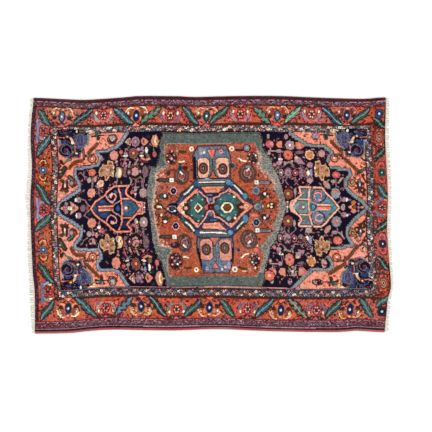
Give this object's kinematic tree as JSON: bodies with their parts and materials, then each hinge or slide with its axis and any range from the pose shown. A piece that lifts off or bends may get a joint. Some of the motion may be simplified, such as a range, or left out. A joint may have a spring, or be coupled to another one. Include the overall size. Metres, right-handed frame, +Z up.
{
  "type": "persian rug",
  "caption": "Flat rectangular hand-knotted wool rug with overcast long sides and a short cotton warp fringe along each end.",
  "frame": {"origin": "middle of the rug's underside, on the floor", "axes": "+X along the rug's length, +Y across it, +Z up out of the pile"},
  "size_m": [2.0446, 1.3212, 0.0097],
  "materials": {
    "wool_pile": "worn hand-knotted wool pile, matt with a faint sheen",
    "side_wool": "overcast dark red wool yarn, matt",
    "warp_cotton": "undyed cotton warp, matt"
  },
  "bodies": {
    "root": {"pile_carpet": "wool_pile", "side_cord_far": "side_wool", "side_cord_near": "side_wool", "fringe_left": "warp_cotton", "fringe_right": "warp_cotton"}
  },
  "joints": []
}
